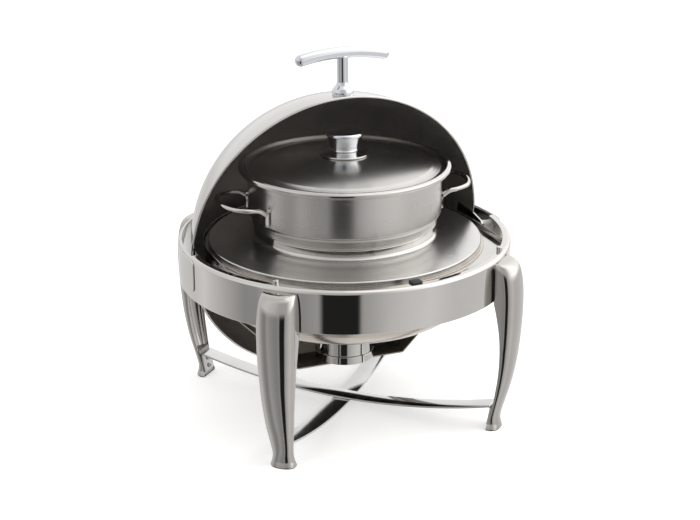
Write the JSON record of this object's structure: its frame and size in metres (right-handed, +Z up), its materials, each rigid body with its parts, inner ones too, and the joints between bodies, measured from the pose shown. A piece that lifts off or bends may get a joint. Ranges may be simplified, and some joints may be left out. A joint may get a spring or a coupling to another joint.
{
  "type": "roll-top chafing dish food warmer",
  "caption": "Round roll-top chafer with a soup pot in an adaptor ring over a water pan, on curved legs with a fuel holder below.",
  "frame": {"origin": "on the floor, on the common vertical axis of the band, pan and pot", "axes": "+Z up, +X along the lid hinge axis to the right, -Y towards the serving side"},
  "size_m": [0.483, 0.48, 0.5363],
  "materials": {
    "steel_mirror": "mirror polished stainless steel",
    "steel_leg": "bright polished stainless steel, faint vertical polishing lines",
    "steel_dome": "polished outside, satin inside",
    "steel_satin": "satin stainless steel with circular brushing",
    "steel_formed": "formed stainless sheet, satin",
    "handle_steel": "polished stainless rod",
    "chrome": "bright chrome",
    "screw_steel": "plain stainless fasteners",
    "cast_block": "cast aluminium",
    "rubber_black": "matt black rubber",
    "nylon_white": "off-white nylon"
  },
  "bodies": {
    "stand": {"frame_band": "steel_mirror", "pan_seat": "steel_formed", "hinge_bushes": "nylon_white", "hinge_pins": "steel_mirror", "hinge_washers": "steel_mirror", "hinge_cover_left": "steel_mirror", "hinge_cover_right": "steel_mirror", "lid_guide_studs": "nylon_white", "front_bumper": "rubber_black", "leg_front_left": "steel_leg", "leg_front_right": "steel_leg", "leg_rear_left": "steel_leg", "leg_rear_right": "steel_leg", "leg_top_blocks": "cast_block", "leg_foot_blocks": "cast_block", "leg_screws": "screw_steel", "foot_pads": "rubber_black", "cross_strap_lower": "steel_mirror", "cross_strap_upper": "steel_mirror", "strap_screws": "screw_steel", "fuel_bracket": "steel_formed", "bracket_screws": "screw_steel"},
    "fuel_holder": {"fuel_cup": "steel_mirror", "damper_pin": "screw_steel", "damper_washer": "screw_steel"},
    "damper": {"damper_cover": "steel_formed"},
    "water_pan": {"water_pan": "steel_satin"},
    "adaptor": {"adaptor_ring": "steel_satin"},
    "soup_pot": {"soup_pot": "steel_satin", "pot_handle_left": "handle_steel", "pot_handle_right": "handle_steel"},
    "pot_lid": {"pot_lid": "steel_satin", "knob_base": "steel_mirror", "pot_lid_knob": "steel_mirror", "knob_screw": "screw_steel"},
    "lid": {"lid_dome": "steel_dome", "lid_ear_left": "steel_formed", "lid_ear_right": "steel_formed", "lid_handle_base": "chrome", "lid_handle_post": "chrome", "lid_handle_bar": "chrome", "lid_handle_screw": "screw_steel"}
  },
  "joints": [
    {"name": "lid_hinge", "type": "hinge", "parent": "stand", "child": "lid", "pos_m": [0, 0, 0.245], "axis": [-1, 0, 0], "range_deg": [-80.2, 74]},
    {"name": "water_pan_lift", "type": "slide", "parent": "stand", "child": "water_pan", "axis": [0, 0, 1], "range_m": [0, 0.018]},
    {"name": "adaptor_lift", "type": "slide", "parent": "water_pan", "child": "adaptor", "axis": [0, -0.766, 0.6428], "range_m": [0, 0.035]},
    {"name": "soup_pot_lift", "type": "slide", "parent": "adaptor", "child": "soup_pot", "axis": [0, 0, 1], "range_m": [0, 0.018]},
    {"name": "pot_lid_lift", "type": "slide", "parent": "soup_pot", "child": "pot_lid", "axis": [0, -0.9397, 0.342], "range_m": [0, 0.1]},
    {"name": "fuel_cup_slide", "type": "slide", "parent": "stand", "child": "fuel_holder", "axis": [0, 1, 0], "range_m": [-0.16, 0]},
    {"name": "damper_swivel", "type": "hinge", "parent": "fuel_holder", "child": "damper", "pos_m": [-0.03833, 0.02395, 0.1235], "axis": [0, 0, 1], "range_deg": [0, 110]}
  ]
}
